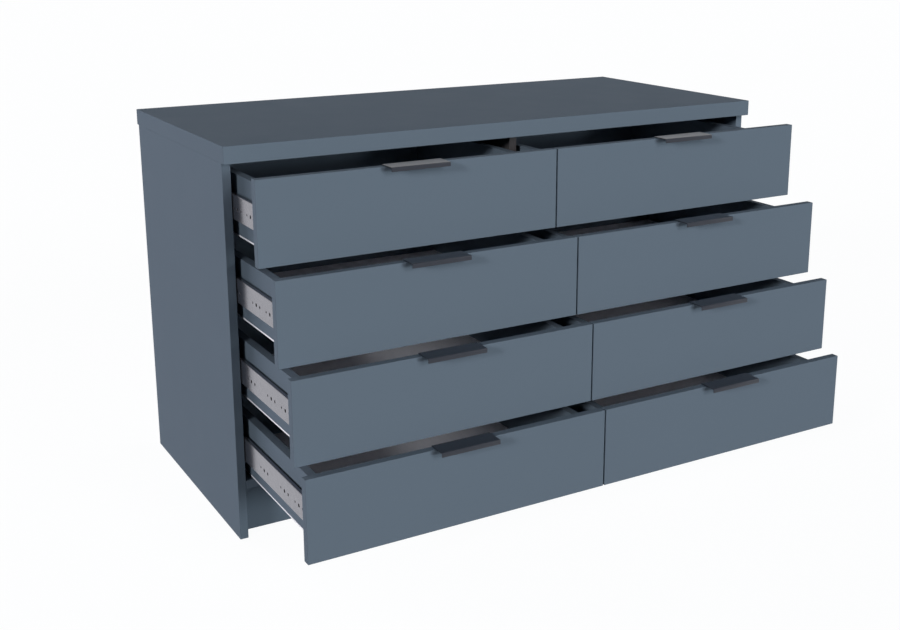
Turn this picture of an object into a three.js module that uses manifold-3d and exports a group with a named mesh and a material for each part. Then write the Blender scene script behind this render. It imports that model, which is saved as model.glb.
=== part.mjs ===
// An eight-drawer dresser in painted board: a carcase with a double-thickness top, two columns
// of four drawers on steel runners, and a folded edge pull on every drawer front.
//
// Millimetres, +Z up. The origin is the centre of the carcase's footprint on the floor, under
// the centre support. +Y points to the back and +X to the right of someone facing the drawers.
// The drawers stand open at rest, the lower ones further than the upper ones.

import * as THREE from 'three';
import { mergeVertices } from 'three/addons/utils/BufferGeometryUtils.js';
import Module from 'manifold-3d';

const wasm = await Module();
wasm.setup();

// ---------------------------------------------------------------- driving dimensions

// carcase
const carcaseWidth = 1190;        // over the two side panels
const carcaseDepth = 520;         // side panels, front edge to back edge
const carcaseHeight = 715;        // floor to the underside of the top
const board = 16;                 // every painted board
const topBoards = 2;              // boards laminated into the top
const topSideOverhang = 2;        // top past each side panel
const backThickness = 3;          // thin back sheet, fixed on the carcase's rear edges
const backInset = 2;              // back sheet inside the carcase's outline
const bottomHeight = 99;          // floor to the underside of the bottom panel
const kickRecess = 32;            // kick board behind the side panels' front edges
const seam = 0.2;                 // glue line between two pieces that meet

// drawer fronts
const rowCount = 4;
const reveal = 3;                 // gap around each front
const frontInset = 2;             // fronts inside the carcase's outer faces
const bumperGap = 2;              // closed front to the carcase's front edges

// drawer boxes
const runnerSpace = 12.7;         // carcase wall to box side, the standard runner width
const boxTopDrop = 20;            // box side below the top of its front
const boxBottomRise = 18;         // drawer bottom above the lower edge of its front
const drawerBottomThickness = 3;  // thin white sheet under the box
const boxLength = 492;            // box, front to back

// drawer runners and the rails that carry them
const runnerHeight = 46;
const runnerLength = 450;
const runnerSheet = 1.2;          // steel of the runner channel
const runnerSetback = 2;          // runner's end behind the drawer front
const slideClearance = 0.3;       // runner to rail, all round
const railSheet = 0.8;            // steel of the rail that is fixed to the wall
const railFlange = 6;             // rail lips that hold the runner, from the wall
const railSetback = 2;            // rail behind the carcase's front edge
const uprightWidth = 30;          // two strips tie the four rails of one wall together
const uprightInset = 60;          // strip from either end of the rails

// screw and access holes in the runner's outer face, on the 32 mm grid
const holeGrid = 32;
const holeSetback = 36;           // first hole behind the drawer front
const holeGroups = [0, 2, 5];     // grid steps at which a group of three holes starts
const holeRadii = [2.2, 2.8, 1.6];
const holeSides = 8;

// edge pull
const handleWidth = 115;
const handleSheet = 1.5;
const handleReach = 22;           // past the face of the drawer front
const handleLip = 8;              // over the plate and the lip
const handleBend = 2.5;           // outer radius of the fold

// how far each row stands open at rest, top row first
const restOpening = [138.5, 211.5, 265, 310];

// ---------------------------------------------------------------- derived sizes

const frontY = -carcaseDepth / 2;                 // front edges of the carcase
const backY = carcaseDepth / 2;
const outerX = carcaseWidth / 2;
const innerX = outerX - board;                    // inner face of a side panel
const dividerX = board / 2;                       // face of the centre divider
const topThickness = topBoards * board;
const topFrontOverhang = board + bumperGap;       // the top covers the closed fronts
const bottomTop = bottomHeight + board;
const bayWidth = innerX - dividerX;               // clear width of one column
const frontBottom = bottomHeight + reveal;
const frontHeight = (carcaseHeight - frontBottom - rowCount * reveal) / rowCount;
const rowPitch = frontHeight + reveal;
const frontWidth = outerX - frontInset - reveal / 2;
const boxWidth = bayWidth - 2 * runnerSpace;
const boxBottom = boxBottomRise + drawerBottomThickness;   // box sides above the front's lower edge
const boxHeight = frontHeight - boxTopDrop - boxBottom;
const runnerBottom = (frontHeight - runnerHeight) / 2;     // runner above the front's lower edge
const runnerOffset = railSheet + slideClearance;           // wall to the runner's outer face
const runnerWidth = runnerSpace - runnerOffset - slideClearance;

// ---------------------------------------------------------------- materials

const paint = new THREE.MeshStandardMaterial({ name: 'painted_board', color: 0x606e7c,
  roughness: 0.55, metalness: 0 });
const sheet = new THREE.MeshStandardMaterial({ name: 'white_sheet', color: 0xe2e4e8,
  roughness: 0.6, metalness: 0 });
const steel = new THREE.MeshStandardMaterial({ name: 'runner_steel', color: 0xa2a2aa,
  roughness: 0.45, metalness: 0.6 });
const bronze = new THREE.MeshStandardMaterial({ name: 'handle_metal', color: 0x3c3d43,
  roughness: 0.4, metalness: 0.5 });

// ---------------------------------------------------------------- helpers

// a closed three.js geometry as a solid that can be joined and cut
function solidOf(geometry) {
  const bare = geometry.clone();
  bare.deleteAttribute('normal');
  bare.deleteAttribute('uv');
  const merged = mergeVertices(bare.index ? bare.toNonIndexed() : bare, 1e-4);
  return new wasm.Manifold(new wasm.Mesh({
    numProp: 3,
    vertProperties: merged.attributes.position.array,
    triVerts: Uint32Array.from(merged.index.array),
  }));
}

// a solid back as a three.js geometry
function geometryOf(solid) {
  const mesh = solid.getMesh();
  const geometry = new THREE.BufferGeometry();
  geometry.setAttribute('position', new THREE.BufferAttribute(mesh.vertProperties, 3));
  geometry.setIndex(new THREE.BufferAttribute(mesh.triVerts, 1));
  geometry.computeVertexNormals();
  return geometry;
}

// a rectangular block between two limits on each axis
function block([x0, x1], [y0, y1], [z0, z1]) {
  const geometry = new THREE.BoxGeometry(x1 - x0, y1 - y0, z1 - z0);
  return geometry.translate((x0 + x1) / 2, (y0 + y1) / 2, (z0 + z1) / 2);
}

function piece(name, geometry, material) {
  const mesh = new THREE.Mesh(geometry, material);
  mesh.name = name;
  return mesh;
}

// an outline in the Y-Z plane, drawn out along X from x0 to x1
function drawnAlongX(shape, x0, x1, curveSegments) {
  const geometry = new THREE.ExtrudeGeometry(shape, { depth: x1 - x0, bevelEnabled: false,
    curveSegments });
  // the shape's own x and y become +Y and +Z, and its depth becomes +X
  geometry.applyMatrix4(new THREE.Matrix4().set(0, 0, 1, x0, 1, 0, 0, 0, 0, 1, 0, 0, 0, 0, 0, 1));
  return geometry;
}

// ---------------------------------------------------------------- carcase

function makeSidePanel(name, side) {
  const faces = [side * innerX, side * outerX].sort((a, b) => a - b);
  return piece(name, block(faces, [frontY, backY], [0, carcaseHeight - seam]), paint);
}

function makeTopPanel() {
  const reach = outerX + topSideOverhang;
  return piece('top_panel', block([-reach, reach], [frontY - topFrontOverhang, backY + backThickness],
    [carcaseHeight, carcaseHeight + topThickness]), paint);
}

function makeBottomPanel() {
  return piece('bottom_panel', block([-innerX + seam, innerX - seam], [frontY, backY],
    [bottomHeight, bottomTop]), paint);
}

function makeCentreDivider() {
  return piece('centre_divider', block([-dividerX, dividerX], [frontY, backY],
    [bottomTop + seam, carcaseHeight - seam]), paint);
}

function makeKickBoard() {
  const face = frontY + kickRecess;
  return piece('kick_board', block([-innerX + seam, innerX - seam], [face, face + board],
    [0, bottomHeight - seam]), paint);
}

// a board on edge under the divider, from the kick board to the back
function makeCentreSupport() {
  const start = frontY + kickRecess + board + seam;
  return piece('centre_support', block([-dividerX, dividerX], [start, backY],
    [0, bottomHeight - seam]), paint);
}

function makeBackPanel() {
  const reach = outerX - backInset;
  return piece('back_panel', block([-reach, reach], [backY + seam, backY + backThickness],
    [backInset, carcaseHeight - seam]), paint);
}

// Four C-shaped rails on one carcase wall, tied by two upright strips. wall is the wall's x and
// into is the direction from the wall into the bay.
function makeRailSet(name, wall, into) {
  const span = (from, to) => [wall + into * from, wall + into * to].sort((a, b) => a - b);
  const rails = [frontY + railSetback, frontY + railSetback + runnerLength];
  const web = span(0, railSheet);
  const lip = span(0, railFlange);
  const railLow = runnerBottom - slideClearance - railSheet;
  const railHigh = runnerBottom + runnerHeight + slideClearance + railSheet;
  const parts = [];
  for (let row = 0; row < rowCount; row += 1) {
    const base = frontBottom + row * rowPitch;
    parts.push(block(web, rails, [base + railLow, base + railHigh]));
    parts.push(block(lip, rails, [base + railLow, base + railLow + railSheet]));
    parts.push(block(lip, rails, [base + railHigh - railSheet, base + railHigh]));
  }
  const top = frontBottom + (rowCount - 1) * rowPitch + railHigh;
  for (const start of [rails[0] + uprightInset, rails[1] - uprightInset - uprightWidth]) {
    parts.push(block(web, [start, start + uprightWidth], [frontBottom + railLow, top]));
  }
  const solid = parts.map(solidOf).reduce((sum, part) => sum.add(part));
  return piece(name, geometryOf(solid), steel);
}

// ---------------------------------------------------------------- drawers
// Every drawer is made in its own frame: x = 0 at the middle of its bay, y = 0 on the back of
// its front and z = 0 at the front's lower edge.

function makeFront(name, shift) {
  return piece(name, block([shift - frontWidth / 2, shift + frontWidth / 2], [-board, 0],
    [0, frontHeight]), paint);
}

// four boards glued into a ring
function makeBox(name) {
  const high = boxBottom + boxHeight;
  const outside = block([-boxWidth / 2, boxWidth / 2], [seam, boxLength], [boxBottom, high]);
  const hollow = block([board - boxWidth / 2, boxWidth / 2 - board],
    [seam + board, boxLength - board], [boxBottom - board, high + board]);
  return piece(name, geometryOf(solidOf(outside).subtract(solidOf(hollow))), paint);
}

function makeDrawerBottom(name) {
  return piece(name, block([-boxWidth / 2, boxWidth / 2], [seam, boxLength],
    [boxBottomRise, boxBottom - seam]), sheet);
}

// the holes of one runner as prisms through its outer face
function runnerHoles(face, into) {
  const height = runnerBottom + runnerHeight / 2;
  return holeGroups.flatMap((step) => holeRadii.map((radius, index) => {
    const hole = new THREE.CylinderGeometry(radius, radius, 4 * runnerSheet, holeSides);
    hole.rotateZ(Math.PI / 2);
    return hole.translate(face + into * runnerSheet / 2,
      holeSetback + holeGrid * step + index * holeGrid / 2, height);
  }));
}

// A C-shaped channel, open towards the box. side is -1 for the runner on the left of the box
// and 1 for the one on its right.
function makeRunner(name, side) {
  const face = side * (bayWidth / 2 - runnerOffset);
  const into = -side;
  const span = (from, to) => [face + into * from, face + into * to].sort((a, b) => a - b);
  const along = [runnerSetback, runnerSetback + runnerLength];
  const channel = solidOf(block(span(0, runnerWidth), along,
    [runnerBottom, runnerBottom + runnerHeight]));
  const hollow = solidOf(block(span(runnerSheet, 2 * runnerWidth),
    [along[0] - board, along[1] + board],
    [runnerBottom + runnerSheet, runnerBottom + runnerHeight - runnerSheet]));
  const solid = runnerHoles(face, into).reduce((rest, hole) => rest.subtract(solidOf(hole)),
    channel.subtract(hollow));
  return piece(name, geometryOf(solid), steel);
}

// A plate that lies on the front's upper edge, folded down over a short lip.
function makeHandle(name, shift) {
  const under = frontHeight + seam;
  const over = under + handleSheet;
  const nose = -board - handleReach;
  const inner = handleBend - handleSheet;
  const outline = new THREE.Shape();
  outline.moveTo(0, under);
  outline.lineTo(0, over);
  outline.lineTo(nose + handleBend, over);
  outline.absarc(nose + handleBend, over - handleBend, handleBend, Math.PI / 2, Math.PI, false);
  outline.lineTo(nose, over - handleLip);
  outline.lineTo(nose + handleSheet, over - handleLip);
  outline.lineTo(nose + handleSheet, over - handleBend);
  outline.absarc(nose + handleBend, over - handleBend, inner, Math.PI, Math.PI / 2, true);
  outline.closePath();
  return piece(name, drawnAlongX(outline, shift - handleWidth / 2, shift + handleWidth / 2, 4),
    bronze);
}

// row 1 is the top row; side is -1 for the left column and 1 for the right one
function makeDrawer(row, side) {
  const name = `drawer_${row}_${side < 0 ? 'left' : 'right'}`;
  const middle = side * (dividerX + innerX) / 2;
  const frontShift = side * (reveal + frontWidth) / 2 - middle;
  const drawer = new THREE.Group();
  drawer.add(
    makeFront(`${name}_front`, frontShift),
    makeBox(`${name}_box`),
    makeDrawerBottom(`${name}_bottom`),
    makeRunner(`${name}_runner_left`, -1),
    makeRunner(`${name}_runner_right`, 1),
    makeHandle(`${name}_handle`, frontShift),
  );
  drawer.position.set(middle, frontY - bumperGap - restOpening[row - 1],
    frontBottom + (rowCount - row) * rowPitch);
  return drawer;
}

// ---------------------------------------------------------------- assembly

const dresser = new THREE.Group();
dresser.add(
  makeTopPanel(),
  makeSidePanel('side_panel_left', -1),
  makeSidePanel('side_panel_right', 1),
  makeCentreDivider(),
  makeBottomPanel(),
  makeKickBoard(),
  makeCentreSupport(),
  makeBackPanel(),
  makeRailSet('rail_set_left', -innerX, 1),
  makeRailSet('rail_set_centre_left', -dividerX, -1),
  makeRailSet('rail_set_centre_right', dividerX, 1),
  makeRailSet('rail_set_right', innerX, -1),
);
for (let row = 1; row <= rowCount; row += 1) {
  dresser.add(makeDrawer(row, -1), makeDrawer(row, 1));
}

export default dresser;
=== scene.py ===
"""The looks of an eight-drawer dresser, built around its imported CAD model.

Lengths are in metres, in the CAD frame: +X to the right of someone facing the drawers, +Y to the
back and +Z up. Boards, drawer boxes, runners, rails and pulls take their places and sizes from the
CAD nodes that they stand for. Screws, pins, bumpers and bends are added here. The runners' holes
are drilled again, a little larger than in the CAD model.
"""

import math

import bmesh
import bpy
from mathutils import Euler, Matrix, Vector

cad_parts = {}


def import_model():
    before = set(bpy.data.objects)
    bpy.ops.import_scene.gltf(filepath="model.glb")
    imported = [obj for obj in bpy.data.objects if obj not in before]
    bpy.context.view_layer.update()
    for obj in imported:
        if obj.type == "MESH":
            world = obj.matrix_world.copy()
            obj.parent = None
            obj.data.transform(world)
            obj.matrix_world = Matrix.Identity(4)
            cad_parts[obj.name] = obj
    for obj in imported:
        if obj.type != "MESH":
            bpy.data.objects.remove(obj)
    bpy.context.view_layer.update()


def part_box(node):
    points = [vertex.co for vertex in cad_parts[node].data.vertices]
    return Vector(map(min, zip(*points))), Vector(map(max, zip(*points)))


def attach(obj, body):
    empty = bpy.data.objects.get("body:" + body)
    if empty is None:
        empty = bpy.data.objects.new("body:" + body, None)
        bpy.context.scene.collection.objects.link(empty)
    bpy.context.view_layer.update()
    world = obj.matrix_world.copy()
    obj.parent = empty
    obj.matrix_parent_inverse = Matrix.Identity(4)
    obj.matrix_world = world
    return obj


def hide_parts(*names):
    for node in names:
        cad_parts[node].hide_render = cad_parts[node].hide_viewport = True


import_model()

# ------------------------------------------------------------------ sizes

ROWS = (1, 2, 3, 4)                 # row 1 is the top row
SIDES = ("left", "right")

TOP_EDGE = 0.0012                   # edge radius of the thick top
BOARD_EDGE = 0.0008                 # edge radius of banded boards
SHEET_EDGE = 0.0004                 # edge radius of thin sheets
EDGE_SEGMENTS = 3                   # facets of a rounded edge
SEAM = 0.0001                       # hairline between two boards of one box
BOX_BOARD = 0.016                   # thickness of the drawer box boards
BOX_SCREW_RADIUS = 0.0045           # screws that hold the drawer front
BOX_SCREW_HEIGHT = 0.002
BOX_SCREW_IN = 0.045                # from the inner face of a box side
BOX_SCREW_UP = 0.030                # from the upper and lower edges of the box

STEEL = 0.0012                      # runner sheet
RAIL_STEEL = 0.0008                 # rail sheet
RUNNER_BEND = 0.0014                # outer bend radius of the runner channel
RAIL_BEND = 0.0014                  # outer bend radius of the rail channel
RUNNER_FLANGE = 0.0070              # depth of the outer channel's flanges
RUNNER_FOOT = 0.020                 # height of the inner channel, beside the box
RUNNER_FOOT_INSET = 0.002           # from the runner's ends to the inner channel's
BEND_STEPS = 4                      # facets of a folded corner
HOLE_GRID = 0.032                   # access holes in the runner
HOLE_START = 0.037                  # first hole behind the drawer front
HOLE_STEPS = (0, 2, 5)              # grid steps at which a group of three holes starts
HOLE_SPACING = 0.0168               # from hole to hole in one group
HOLE_DROP = 0.002                   # holes below the middle of the runner
HOLE_RADII = (0.0029, 0.0035, 0.0023)
HOLE_SIDES = 20
RAIL_HEIGHT = 0.0482                # outside height of one cabinet rail
RAIL_UPRIGHT = 0.030                # width of the strips that tie the rails
RAIL_UPRIGHT_INSET = 0.060          # from the rails' ends to the strips
RAIL_UPRIGHT_EDGE = 0.0002          # edge radius of the strips
RAIL_SCREW_RADIUS = 0.0035
RAIL_SCREW_HEIGHT = 0.0002
RAIL_SCREW_INSET = 0.035            # from the rails' ends to the outer screws

PULL_STEEL = 0.0015                 # sheet of the edge pull
PULL_BEND = 0.0025                  # outer radius of its fold
PULL_BEND_STEPS = 6
PULL_EDGE = 0.0002                  # bevel of its cut edges
PULL_SHARP = 60                     # degrees from which an edge counts as a cut one
PULL_SCREW_INSET = 0.020            # screws from the ends of the plate
PULL_SCREW_BACK = 0.008             # screws from the back edge of the plate
PULL_SCREW_SINK = 0.0001            # screw's rim under the face of the plate
PULL_SCREW_SIDES = 18
PULL_SCREW_HEAD = ((0.0, 0.0), (0.0032, 0.0), (0.0030, 0.0001), (0.0013, 0.00012),
                   (0.0009, 0.00004), (0.0, 0.00002))      # radius, height

PAD_RADIUS = 0.003                  # bumpers on the backs of the fronts
PAD_HEIGHT = 0.0018
PAD_IN_LEFT = 0.0055                # from the front's left edge
PAD_IN_RIGHT = 0.0040               # from its right edge
PAD_UP = 0.010                      # from its upper and lower edges
PIN_RADIUS = 0.0015                 # pins that hold the back sheet
PIN_HEIGHT = 0.0003
PIN_RIM = 0.0002                    # height of the pin's shoulder
PIN_SIDES = 10
PIN_INSET = 0.007                   # from the sheet's edges
PIN_PITCH = 0.090

# ------------------------------------------------------------------ materials

NOISE_LOW, NOISE_HIGH = 0.3, 0.7    # most values of a noise lie between these
EVEN = (1.0, 1.0, 1.0)              # noise that isn't stretched
ALONG_Y = (1.0, 0.25, 1.0)          # fibres that run along Y
ALONG_Z = (1.0, 1.0, 0.25)          # fibres that run along Z
DRAWN = (14.0, 0.5, 14.0)           # fine lines along Y, as on drawn steel


def node(tree, kind, **inputs):
    """A shader node with some of its input sockets set, by name."""
    made = tree.nodes.new(kind)
    for name, value in inputs.items():
        made.inputs[name.replace("_", " ")].default_value = value
    return made


def object_noise(tree, scale, detail, stretch):
    """Noise fixed to the piece, with its pattern squeezed by stretch along each axis."""
    place = tree.nodes.new("ShaderNodeTexCoord")
    squeeze = node(tree, "ShaderNodeMapping", Scale=stretch)
    noise = node(tree, "ShaderNodeTexNoise", Scale=scale, Detail=detail)
    tree.links.new(place.outputs["Object"], squeeze.inputs["Vector"])
    tree.links.new(squeeze.outputs["Vector"], noise.inputs["Vector"])
    return noise.outputs["Fac"]


def remap(tree, source, low, high):
    """A noise brought to the range low to high."""
    span = node(tree, "ShaderNodeMapRange", From_Min=NOISE_LOW, From_Max=NOISE_HIGH,
                To_Min=low, To_Max=high)
    tree.links.new(source, span.inputs["Value"])
    return span.outputs["Result"]


def surface(name, colours, roughness, relief, **sockets):
    """A material made of noises, each given as (scale, detail, stretch) and made once.
    colours is (noise, darkest, lightest), roughness is (noise, least, most) and relief is
    (noise, strength, depth in metres). sockets are fixed values of the shader, by name."""
    material = bpy.data.materials.new(name)
    material.use_nodes = True
    tree = material.node_tree
    shader = tree.nodes["Principled BSDF"]
    noises = {kind: object_noise(tree, *kind)
              for kind in dict.fromkeys((colours[0], roughness[0], relief[0]))}

    kind, dark, light = colours
    mix = tree.nodes.new("ShaderNodeMix")
    mix.data_type = "RGBA"
    mix.inputs["A"].default_value = (*dark, 1.0)
    mix.inputs["B"].default_value = (*light, 1.0)
    tree.links.new(remap(tree, noises[kind], 0.0, 1.0), mix.inputs["Factor"])
    tree.links.new(mix.outputs["Result"], shader.inputs["Base Color"])

    kind, least, most = roughness
    tree.links.new(remap(tree, noises[kind], least, most), shader.inputs["Roughness"])

    kind, strength, depth = relief
    bump = node(tree, "ShaderNodeBump", Strength=strength, Distance=depth)
    tree.links.new(noises[kind], bump.inputs["Height"])
    tree.links.new(bump.outputs["Normal"], shader.inputs["Normal"])

    for socket, value in sockets.items():
        shader.inputs[socket.replace("_", " ")].default_value = value
    return material


# matt grey-blue paint: an even coat with faint clouding and a very fine orange peel
PAINT = surface("painted_board",
                colours=((2.4, 3.0, EVEN), (0.116, 0.151, 0.191), (0.118, 0.153, 0.194)),
                roughness=((14.0, 4.0, EVEN), 0.50, 0.56),
                relief=((700.0, 2.0, EVEN), 0.06, 0.0001),
                Specular_IOR_Level=0.004)

# dark warm grey for the board inside the cabinet, far darker than the outer paint
INNER = surface("inner_board",
                colours=((3.0, 3.0, EVEN), (0.060, 0.057, 0.060), (0.065, 0.062, 0.065)),
                roughness=((3.0, 3.0, EVEN), 0.50, 0.56),
                relief=((500.0, 2.0, EVEN), 0.06, 0.0001),
                Specular_IOR_Level=0.05)

# thin hardboard with a smooth white face and a trace of fibre
SHEET = surface("white_sheet",
                colours=((180.0, 5.0, ALONG_Y), (0.86, 0.87, 0.93), (0.89, 0.90, 0.96)),
                roughness=((180.0, 5.0, ALONG_Y), 0.42, 0.56),
                relief=((180.0, 5.0, ALONG_Y), 0.15, 0.0001),
                Specular_IOR_Level=0.35)

# thin hardboard of the cabinet's back, plain light grey
BACK = surface("back_sheet",
               colours=((180.0, 5.0, ALONG_Z), (0.53, 0.55, 0.57), (0.58, 0.60, 0.62)),
               roughness=((180.0, 5.0, ALONG_Z), 0.50, 0.62),
               relief=((180.0, 5.0, ALONG_Z), 0.15, 0.0001),
               Specular_IOR_Level=0.25)

# zinc-plated steel, drawn lengthwise, with the faint spangle of the plating
RUNNER = surface("runner_steel",
                 colours=((120.0, 2.0, EVEN), (0.215, 0.214, 0.245), (0.239, 0.238, 0.271)),
                 roughness=((60.0, 4.0, DRAWN), 0.18, 0.23),
                 relief=((60.0, 4.0, DRAWN), 0.06, 0.0001),
                 Metallic=0.88)

# bright zinc of screw and pin heads
SCREW = surface("screw_steel",
                colours=((900.0, 2.0, EVEN), (0.36, 0.36, 0.38), (0.52, 0.52, 0.54)),
                roughness=((900.0, 2.0, EVEN), 0.22, 0.36),
                relief=((900.0, 2.0, EVEN), 0.1, 0.00005),
                Metallic=1.0)

# dark blue-grey powder coat, finely textured and nearly even
PULL = surface("handle_metal",
               colours=((45.0, 3.0, EVEN), (0.014, 0.018, 0.028), (0.019, 0.022, 0.033)),
               roughness=((45.0, 3.0, EVEN), 0.30, 0.38),
               relief=((1500.0, 2.0, EVEN), 0.12, 0.00006),
               Specular_IOR_Level=0.43)

# pale plastic of the stick-on bumpers
BUMPER = surface("bumper_plastic",
                 colours=((400.0, 2.0, EVEN), (0.60, 0.62, 0.64), (0.72, 0.74, 0.76)),
                 roughness=((400.0, 2.0, EVEN), 0.25, 0.40),
                 relief=((400.0, 2.0, EVEN), 0.08, 0.00005))

# ------------------------------------------------------------------ mesh helpers


def add_object(name, data):
    """An object of mesh, lamp or camera data, linked to the scene."""
    made = bpy.data.objects.new(name, data)
    bpy.context.scene.collection.objects.link(made)
    return made


def take_mesh(name, bm):
    """The mesh of bm, which is freed."""
    mesh = bpy.data.meshes.new(name)
    bm.to_mesh(mesh)
    bm.free()
    return mesh


def finish_piece(name, bm, material, body, stands_for=None):
    """Makes an object of bm, smooth with true flats, and puts it on its CAD body."""
    bmesh.ops.recalc_face_normals(bm, faces=bm.faces)
    for face in bm.faces:
        face.smooth = True
    mesh = take_mesh(name, bm)
    mesh.materials.append(material)
    piece = add_object(name, mesh)
    flats = piece.modifiers.new("true_flats", "WEIGHTED_NORMAL")
    flats.mode = "FACE_AREA"
    flats.weight = 100
    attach(piece, body)
    if stands_for:
        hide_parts(stands_for)
    return piece


def add_block(bm, low, high, radius, segments=EDGE_SEGMENTS):
    """A block between two corners, its twelve edges rounded."""
    low, high = Vector(low), Vector(high)
    made = bmesh.ops.create_cube(bm, size=1.0)
    size = high - low
    for vert in made["verts"]:
        vert.co = Vector(((vert.co.x + 0.5) * size.x, (vert.co.y + 0.5) * size.y,
                          (vert.co.z + 0.5) * size.z)) + low
    edges = {edge for vert in made["verts"] for edge in vert.link_edges}
    bmesh.ops.bevel(bm, geom=list(edges), offset=radius, offset_type="OFFSET", segments=segments,
                    profile=0.5, affect="EDGES", clamp_overlap=True)


def board(cad_node, material, body, radius):
    """One banded board or thin sheet in the place of a CAD node."""
    bm = bmesh.new()
    add_block(bm, *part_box(cad_node), radius)
    finish_piece(cad_node + "_board", bm, material, body, cad_node)


def add_turned(bm, profile, centre, axis, sides=16):
    """A turned shape: profile gives (radius, height) pairs from the axis out and back to it,
    and height runs along axis from centre."""
    turn = Vector((0, 0, 1)).rotation_difference(Vector(axis)).to_matrix()
    rings = []
    for radius, height in profile:
        if radius == 0.0:
            rings.append([bm.verts.new(turn @ Vector((0, 0, height)) + Vector(centre))])
            continue
        ring = []
        for step in range(sides):
            angle = 2 * math.pi * step / sides
            spot = Vector((radius * math.cos(angle), radius * math.sin(angle), height))
            ring.append(bm.verts.new(turn @ spot + Vector(centre)))
        rings.append(ring)
    for lower, upper in zip(rings, rings[1:]):
        for step in range(sides):
            after = (step + 1) % sides
            if len(lower) == 1:
                bm.faces.new((lower[0], upper[step], upper[after]))
            elif len(upper) == 1:
                bm.faces.new((lower[step], lower[after], upper[0]))
            else:
                bm.faces.new((lower[step], lower[after], upper[after], upper[step]))


def add_pan_head(bm, centre, axis, radius, height):
    """A domed screw head with a cross recess hinted by a sunk dimple in its crown."""
    dome = [(0.0, 0.0), (radius, 0.0), (radius, 0.3 * height), (0.86 * radius, 0.7 * height),
            (0.55 * radius, 0.95 * height), (0.34 * radius, height), (0.26 * radius, 0.5 * height),
            (0.0, 0.35 * height)]
    add_turned(bm, dome, centre, axis)


def profile_solid(bm, outline, start, end, place):
    """Draws a closed outline of (a, b) pairs out from start to end. place(a, b, along) gives
    the point."""
    first = [bm.verts.new(place(a, b, start)) for a, b in outline]
    last = [bm.verts.new(place(a, b, end)) for a, b in outline]
    count = len(outline)
    for step in range(count):
        after = (step + 1) % count
        bm.faces.new((first[step], first[after], last[after], last[step]))
    bm.faces.new(list(reversed(first)))
    bm.faces.new(last)


def arc(centre, radius, start, end, steps):
    """Points on an arc in a plane, angles in degrees."""
    points = []
    for step in range(steps + 1):
        angle = math.radians(start + (end - start) * step / steps)
        points.append((centre[0] + radius * math.cos(angle),
                       centre[1] + radius * math.sin(angle)))
    return points


def channel_outline(width, low, high, sheet, bend):
    """A C-shaped channel in (a, b): a runs from its web at 0 to its open side at width, and b
    runs from low to high."""
    inner = bend - sheet
    outline = [(width, high), (width, high - sheet)]
    outline += arc((bend, high - bend), inner, 90, 180, BEND_STEPS)
    outline += arc((bend, low + bend), inner, 180, 270, BEND_STEPS)
    outline += [(width, low + sheet), (width, low)]
    outline += arc((bend, low + bend), bend, 270, 180, BEND_STEPS)
    outline += arc((bend, high - bend), bend, 180, 90, BEND_STEPS)
    return outline


# ------------------------------------------------------------------ carcase


def back_pins():
    """Small pin heads round the back sheet and down its middle, where the divider is."""
    low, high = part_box("back_panel")
    divider_low, divider_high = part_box("centre_divider")
    left, right = low.x + PIN_INSET, high.x - PIN_INSET
    width = high.x - low.x - 2 * PIN_INSET
    height = high.z - low.z - 2 * PIN_INSET
    spots = []
    for z in (low.z + PIN_INSET, high.z - PIN_INSET):
        count = round(width / PIN_PITCH)
        spots += [(left + width * k / count, z) for k in range(count + 1)]
    for x in (left, (divider_low.x + divider_high.x) / 2, right):
        count = round(height / PIN_PITCH)
        spots += [(x, low.z + PIN_INSET + height * k / count) for k in range(1, count)]
    head = [(0.0, 0.0), (PIN_RADIUS, 0.0), (0.8 * PIN_RADIUS, PIN_RIM), (0.0, PIN_HEIGHT)]
    bm = bmesh.new()
    for x, z in spots:
        add_turned(bm, head, (x, high.y - PIN_HEIGHT, z), (0, 1, 0), PIN_SIDES)
    finish_piece("back_pins", bm, SCREW, "carcase")


def rail_set(cad_node, into):
    """Four folded rails on one wall, tied by two upright strips. into is the direction from the
    wall into the bay."""
    low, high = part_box(cad_node)
    wall = low.x if into > 0 else high.x
    width = high.x - low.x
    bottom = high.z - RAIL_HEIGHT
    pitch = (bottom - low.z) / (len(ROWS) - 1)

    def place(a, b, along):
        return Vector((wall + into * a, along, b))

    bm = bmesh.new()
    for row in range(len(ROWS)):
        base = low.z + row * pitch
        outline = channel_outline(width, base, base + RAIL_HEIGHT, RAIL_STEEL, RAIL_BEND)
        profile_solid(bm, outline, low.y, high.y, place)
    finish_piece(cad_node + "_rails", bm, RUNNER, "carcase", cad_node)
    bm = bmesh.new()
    for start in (low.y + RAIL_UPRIGHT_INSET, high.y - RAIL_UPRIGHT_INSET - RAIL_UPRIGHT):
        for row in range(len(ROWS) - 1):
            ends = (low.z + row * pitch + RAIL_HEIGHT, low.z + (row + 1) * pitch)
            xs = sorted((wall, wall + into * RAIL_STEEL))
            add_block(bm, (xs[0], start, ends[0]), (xs[1], start + RAIL_UPRIGHT, ends[1]),
                      RAIL_UPRIGHT_EDGE, 1)
    finish_piece(cad_node + "_strips", bm, RUNNER, "carcase", cad_node)
    bm = bmesh.new()
    for row in range(len(ROWS)):
        for y in (low.y + RAIL_SCREW_INSET, (low.y + high.y) / 2, high.y - RAIL_SCREW_INSET):
            spot = (wall + into * RAIL_STEEL, y, low.z + row * pitch + RAIL_HEIGHT / 2)
            add_pan_head(bm, spot, (into, 0, 0), RAIL_SCREW_RADIUS, RAIL_SCREW_HEIGHT)
    finish_piece(cad_node + "_screws", bm, SCREW, "carcase")


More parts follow.
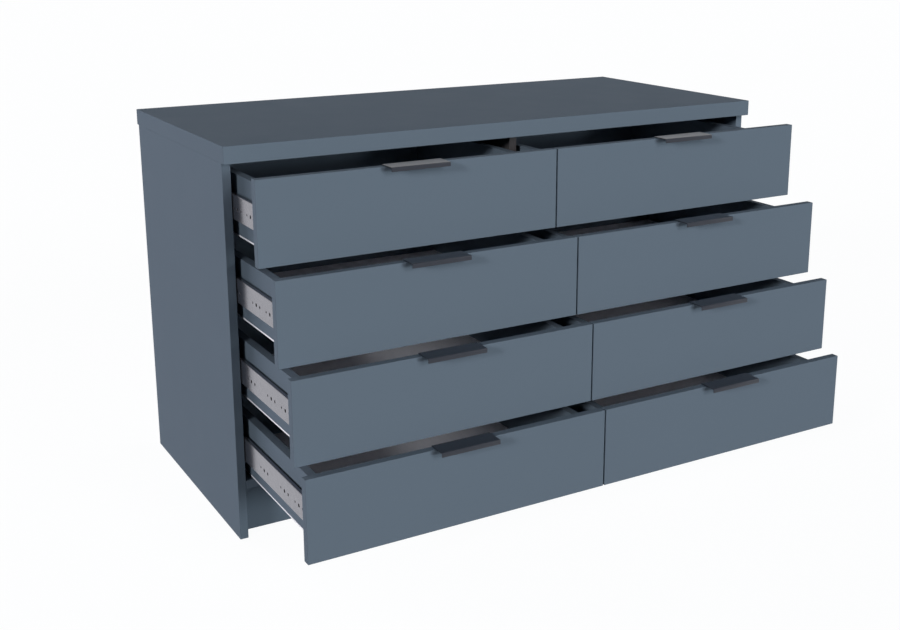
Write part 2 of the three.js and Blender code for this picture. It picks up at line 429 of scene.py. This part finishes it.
def carcase():
    board("top_panel", PAINT, "carcase", TOP_EDGE)
    for cad_node in ("side_panel_left", "side_panel_right", "bottom_panel", "kick_board",
                     "centre_support"):
        board(cad_node, PAINT, "carcase", BOARD_EDGE)
    board("centre_divider", INNER, "carcase", BOARD_EDGE)
    board("back_panel", BACK, "carcase", SHEET_EDGE)
    back_pins()
    rail_set("rail_set_left", 1)
    rail_set("rail_set_centre_left", -1)
    rail_set("rail_set_centre_right", 1)
    rail_set("rail_set_right", -1)


# ------------------------------------------------------------------ drawers


def box_boards(body):
    """Two long sides with the inner front and the back board held between them."""
    cad_node = body + "_box"
    low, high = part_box(cad_node)
    inner = (low.x + BOX_BOARD, high.x - BOX_BOARD)
    boards = {
        "side_left": ((low.x, low.y, low.z), (inner[0], high.y, high.z)),
        "side_right": ((inner[1], low.y, low.z), (high.x, high.y, high.z)),
        "inner_front": ((inner[0] + SEAM, low.y, low.z),
                        (inner[1] - SEAM, low.y + BOX_BOARD, high.z)),
        "back": ((inner[0] + SEAM, high.y - BOX_BOARD, low.z),
                 (inner[1] - SEAM, high.y, high.z)),
    }
    for name, corners in boards.items():
        bm = bmesh.new()
        add_block(bm, *corners, BOARD_EDGE)
        finish_piece(f"{cad_node}_{name}", bm, PAINT, body, cad_node)
    # screws that hold the drawer front, through the inner front
    bm = bmesh.new()
    for x in (inner[0] + BOX_SCREW_IN, inner[1] - BOX_SCREW_IN):
        for z in (low.z + BOX_SCREW_UP, high.z - BOX_SCREW_UP):
            add_pan_head(bm, (x, low.y + BOX_BOARD, z), (0, 1, 0), BOX_SCREW_RADIUS,
                         BOX_SCREW_HEIGHT)
    finish_piece(f"{cad_node}_screws", bm, SCREW, body)


def drill_holes(piece, spots, into):
    """Cuts holes through a runner's sheet at spots, with HOLE_RADII over and over."""
    bm = bmesh.new()
    for index, spot in enumerate(spots):
        radius = HOLE_RADII[index % len(HOLE_RADII)]
        drill = [(0.0, -STEEL), (radius, -STEEL), (radius, 2 * STEEL), (0.0, 2 * STEEL)]
        add_turned(bm, drill, spot, (into, 0, 0), HOLE_SIDES)
    bmesh.ops.recalc_face_normals(bm, faces=bm.faces)
    drills = add_object("drills", take_mesh("drills", bm))
    cut = piece.modifiers.new("holes", "BOOLEAN")
    cut.operation = "DIFFERENCE"
    cut.solver = "EXACT"
    cut.object = drills
    piece.modifiers.move(1, 0)      # before the flats
    bpy.context.view_layer.update()
    holder = piece.evaluated_get(bpy.context.evaluated_depsgraph_get())
    baked = bpy.data.meshes.new_from_object(holder)
    piece.modifiers.clear()
    piece.data = baked
    bpy.data.objects.remove(drills)


def runner(body, side, into):
    """A folded channel with groups of round access holes, on a narrow inner channel that is fixed
    to the side of the box. into is the direction from the carcase wall to the box."""
    cad_node = f"{body}_runner_{side}"
    low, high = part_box(cad_node)
    wall = low.x if into > 0 else high.x
    middle = (low.z + high.z) / 2
    front_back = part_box(body + "_front")[1].y

    def place(a, b, along):
        return Vector((wall + into * a, along, b))

    bm = bmesh.new()
    depth = high.x - low.x
    outline = channel_outline(depth - STEEL, middle - RUNNER_FOOT / 2, middle + RUNNER_FOOT / 2,
                              STEEL, RUNNER_BEND)
    outline = [(depth - a, b) for a, b in reversed(outline)]
    profile_solid(bm, outline, low.y + RUNNER_FOOT_INSET, high.y - RUNNER_FOOT_INSET, place)
    finish_piece(cad_node + "_foot", bm, RUNNER, body, cad_node)
    bm = bmesh.new()
    outline = channel_outline(RUNNER_FLANGE, low.z, high.z, STEEL, RUNNER_BEND)
    profile_solid(bm, outline, low.y, high.y, place)
    piece = finish_piece(cad_node + "_channel", bm, RUNNER, body, cad_node)
    spots = [(wall, front_back + HOLE_START + HOLE_GRID * group + HOLE_SPACING * index,
              middle - HOLE_DROP)
             for group in HOLE_STEPS for index in range(len(HOLE_RADII))]
    drill_holes(piece, spots, into)


def pull(body):
    """A folded plate on the top edge of a front, with two countersunk screws."""
    cad_node = body + "_handle"
    low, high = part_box(cad_node)
    bend = (low.y + PULL_BEND, high.z - PULL_BEND)
    outline = [(high.y, high.z - PULL_STEEL), (high.y, high.z)]
    outline += arc(bend, PULL_BEND, 90, 180, PULL_BEND_STEPS)
    outline += [(low.y, low.z), (low.y + PULL_STEEL, low.z)]
    outline += arc(bend, PULL_BEND - PULL_STEEL, 180, 90, PULL_BEND_STEPS)

    def place(a, b, along):
        return Vector((along, a, b))

    bm = bmesh.new()
    profile_solid(bm, outline, low.x, high.x, place)
    sharp = [edge for edge in bm.edges if edge.calc_face_angle(0.0) > math.radians(PULL_SHARP)]
    bmesh.ops.bevel(bm, geom=sharp, offset=PULL_EDGE, segments=2, profile=0.5, affect="EDGES")
    finish_piece(cad_node + "_plate", bm, PULL, body, cad_node)
    bm = bmesh.new()
    for x in (low.x + PULL_SCREW_INSET, high.x - PULL_SCREW_INSET):
        spot = (x, high.y - PULL_SCREW_BACK, high.z - PULL_SCREW_SINK)
        add_turned(bm, PULL_SCREW_HEAD, spot, (0, 0, 1), PULL_SCREW_SIDES)
    finish_piece(cad_node + "_screws", bm, PULL, body)


def bumpers(body):
    """Four stick-on bumpers behind a front, where it meets the carcase's front edges."""
    low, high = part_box(body + "_front")
    bm = bmesh.new()
    dome = [(0.0, 0.0), (PAD_RADIUS, 0.0), (PAD_RADIUS, 0.5 * PAD_HEIGHT),
            (0.8 * PAD_RADIUS, 0.85 * PAD_HEIGHT), (0.4 * PAD_RADIUS, PAD_HEIGHT),
            (0.0, PAD_HEIGHT)]
    for x in (low.x + PAD_IN_LEFT, high.x - PAD_IN_RIGHT):
        for z in (low.z + PAD_UP, high.z - PAD_UP):
            add_turned(bm, dome, (x, high.y, z), (0, 1, 0))
    finish_piece(body + "_bumpers", bm, BUMPER, body)


def drawer(body):
    board(body + "_front", PAINT, body, BOARD_EDGE)
    box_boards(body)
    board(body + "_bottom", SHEET, body, SHEET_EDGE)
    runner(body, "left", 1)
    runner(body, "right", -1)
    pull(body)
    bumpers(body)


carcase()
for row in ROWS:
    for side in SIDES:
        drawer(f"drawer_{row}_{side}")

# ------------------------------------------------------------------ floor, light and camera

FLOOR_SIZE = 40.0
FLOOR_BOUNCE = (0.10, 0.10, 0.11, 1.0)      # what the floor gives back to the object
FLOOR_PALE = (0.80, 0.80, 0.80, 1.0)        # what takes the shadow, for the camera
FLOOR_WHITE = (0.99, 0.995, 1.0, 1.0)
FLOOR_WHITE_STRENGTH = 1.05
FLOOR_WHITE_SHARE = 0.92                    # the rest is the pale floor with the shadow
ROOM_COLOUR = (0.95, 0.98, 1.0, 1.0)
ROOM_LEVEL = 0.02


def light_path_white(tree, shade, white):
    """shade for rays that light the object, and white for what the camera sees, straight or in
    metal or glass."""
    path = tree.nodes.new("ShaderNodeLightPath")
    seen = tree.nodes.new("ShaderNodeMath")
    seen.operation = "MAXIMUM"
    both = tree.nodes.new("ShaderNodeMath")
    both.operation = "MAXIMUM"
    mix = tree.nodes.new("ShaderNodeMixShader")
    tree.links.new(path.outputs["Is Camera Ray"], seen.inputs[0])
    tree.links.new(path.outputs["Is Glossy Ray"], seen.inputs[1])
    tree.links.new(seen.outputs["Value"], both.inputs[0])
    tree.links.new(path.outputs["Is Transmission Ray"], both.inputs[1])
    tree.links.new(both.outputs["Value"], mix.inputs["Fac"])
    tree.links.new(shade, mix.inputs[1])
    tree.links.new(white, mix.inputs[2])
    return mix.outputs["Shader"]


def floor():
    """A pale floor. The camera sees mostly its own white, with a trace of the object's shadow."""
    material = bpy.data.materials.new("floor")
    material.use_nodes = True
    tree = material.node_tree
    tree.nodes.clear()
    bounce = node(tree, "ShaderNodeEmission", Color=FLOOR_BOUNCE, Strength=1.0)
    pale = node(tree, "ShaderNodeBsdfDiffuse", Color=FLOOR_PALE)
    glow = node(tree, "ShaderNodeEmission", Color=FLOOR_WHITE, Strength=FLOOR_WHITE_STRENGTH)
    shown = node(tree, "ShaderNodeMixShader", Fac=FLOOR_WHITE_SHARE)
    tree.links.new(pale.outputs["BSDF"], shown.inputs[1])
    tree.links.new(glow.outputs["Emission"], shown.inputs[2])
    output = tree.nodes.new("ShaderNodeOutputMaterial")
    surface = light_path_white(tree, bounce.outputs["Emission"], shown.outputs["Shader"])
    tree.links.new(surface, output.inputs["Surface"])
    bm = bmesh.new()
    bmesh.ops.create_grid(bm, x_segments=1, y_segments=1, size=FLOOR_SIZE / 2)
    mesh = take_mesh("floor", bm)
    mesh.materials.append(material)
    plane = add_object("floor", mesh)


def world():
    """A dark studio, with a white backdrop where the camera or a mirror looks at it."""
    made = bpy.data.worlds.new("studio")
    bpy.context.scene.world = made
    made.use_nodes = True
    tree = made.node_tree
    tree.nodes.clear()
    room = node(tree, "ShaderNodeBackground", Color=ROOM_COLOUR, Strength=ROOM_LEVEL)
    backdrop = node(tree, "ShaderNodeBackground", Color=(1.0, 1.0, 1.0, 1.0), Strength=1.0)
    output = tree.nodes.new("ShaderNodeOutputWorld")
    surface = light_path_white(tree, room.outputs["Background"], backdrop.outputs["Background"])
    tree.links.new(surface, output.inputs["Surface"])


def far_light(name, heading, height, spread, level):
    """A wide lamp far away. heading is in degrees from straight in front, to the right, and
    height is above the floor. level is the colour of a white card that faces it."""
    data = bpy.data.lights.new(name, "SUN")
    data.angle = math.radians(spread)
    data.energy = math.pi * max(level)
    data.color = [part / max(level) for part in level]
    lamp = add_object(name, data)
    turn, rise = math.radians(heading), math.radians(height)
    towards = Vector((math.sin(turn) * math.cos(rise), -math.cos(turn) * math.cos(rise),
                      math.sin(rise)))
    lamp.rotation_euler = (-towards).to_track_quat("-Z", "Y").to_euler()
    lamp.visible_camera = False
    lamp.visible_glossy = False


floor()
world()
far_light("key", -65, 17.5, 11, (0.48, 0.48, 0.48))
far_light("low_front", 24, 4, 14, (0.54, 0.56, 0.56))
far_light("high_front", 14, 22, 18, (0.30, 0.29, 0.29))
far_light("back_left", -152, 5, 36, (0.86, 0.81, 0.84))
far_light("back", -165, 3, 12, (0.62, 0.57, 0.58))
far_light("right", 96, 4, 30, (0.36, 0.36, 0.36))

CAMERA_PLACE = (-1.27119, -2.28923, 1.09968)
CAMERA_TURN = (1.32339, 0.0, -0.52940)      # radians: tilt from straight down, roll, heading
SENSOR = 36.0                               # millimetres, as Blender's camera data takes them
LENS = 49.088
CAMERA_SHIFT = (-0.02909, -0.07875)         # the view is a crop, off its own centre

camera_data = bpy.data.cameras.new("camera")
camera_data.sensor_width = SENSOR
camera_data.lens = LENS
camera_data.shift_x, camera_data.shift_y = CAMERA_SHIFT
camera = add_object("camera", camera_data)
camera.location = CAMERA_PLACE
camera.rotation_euler = Euler(CAMERA_TURN)
bpy.context.scene.camera = camera

bpy.context.scene.view_settings.view_transform = "Standard"
